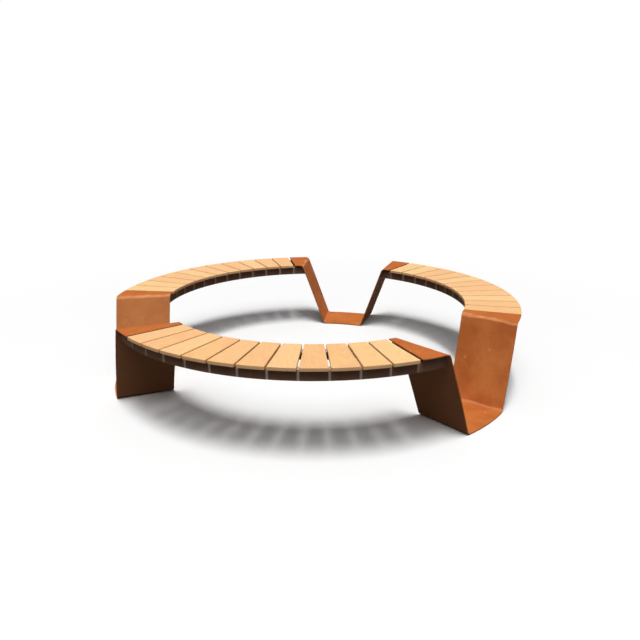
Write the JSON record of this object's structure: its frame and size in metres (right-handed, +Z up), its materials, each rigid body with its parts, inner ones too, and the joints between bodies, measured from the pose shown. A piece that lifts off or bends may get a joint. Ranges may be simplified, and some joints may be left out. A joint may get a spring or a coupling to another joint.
{
  "type": "tree bench",
  "caption": "Ring-shaped bench for around a tree: curved seats of tapered hardwood boards on folded weathering-steel legs.",
  "frame": {"origin": "on the ground, in the middle of the ring where the tree stands", "axes": "+Z up, along the axis of the ring; +Y from the middle towards the back leg; +X to the right, between the right seat and the right leg"},
  "size_m": [2.4, 2.4, 0.455],
  "materials": {
    "weathered_steel": "matte",
    "yellow_wood": "matte",
    "peach_wood": "matte",
    "dark_steel": "satin",
    "bright_steel": "satin"
  },
  "bodies": {
    "root": {"leg_back": "weathered_steel", "leg_left": "weathered_steel", "leg_right": "weathered_steel", "outer_rail_front": "dark_steel", "outer_rail_right": "dark_steel", "outer_rail_left": "dark_steel", "inner_rail_front": "dark_steel", "inner_rail_right": "dark_steel", "inner_rail_left": "dark_steel", "slat_front_01": "peach_wood", "slat_front_02": "peach_wood", "slat_front_03": "yellow_wood", "slat_front_04": "peach_wood", "slat_front_05": "peach_wood", "slat_front_06": "peach_wood", "slat_front_07": "yellow_wood", "slat_front_08": "peach_wood", "slat_front_09": "peach_wood", "slat_front_10": "yellow_wood", "slat_front_11": "yellow_wood", "slat_right_01": "peach_wood", "slat_right_02": "peach_wood", "slat_right_03": "yellow_wood", "slat_right_04": "peach_wood", "slat_right_05": "peach_wood", "slat_right_06": "peach_wood", "slat_right_07": "yellow_wood", "slat_right_08": "peach_wood", "slat_right_09": "peach_wood", "slat_right_10": "yellow_wood", "slat_right_11": "yellow_wood", "slat_left_01": "peach_wood", "slat_left_02": "peach_wood", "slat_left_03": "yellow_wood", "slat_left_04": "peach_wood", "slat_left_05": "peach_wood", "slat_left_06": "peach_wood", "slat_left_07": "yellow_wood", "slat_left_08": "peach_wood", "slat_left_09": "peach_wood", "slat_left_10": "yellow_wood", "slat_left_11": "yellow_wood", "packer_back_a": "dark_steel", "packer_back_b": "dark_steel", "packer_left_a": "dark_steel", "packer_left_b": "dark_steel", "packer_right_a": "dark_steel", "packer_right_b": "dark_steel", "board_screws_front": "bright_steel", "board_screws_right": "bright_steel", "board_screws_left": "bright_steel", "studs_back": "dark_steel", "studs_left": "dark_steel", "studs_right": "dark_steel", "stud_nuts_back": "bright_steel", "stud_nuts_left": "bright_steel", "stud_nuts_right": "bright_steel"}
  },
  "joints": []
}
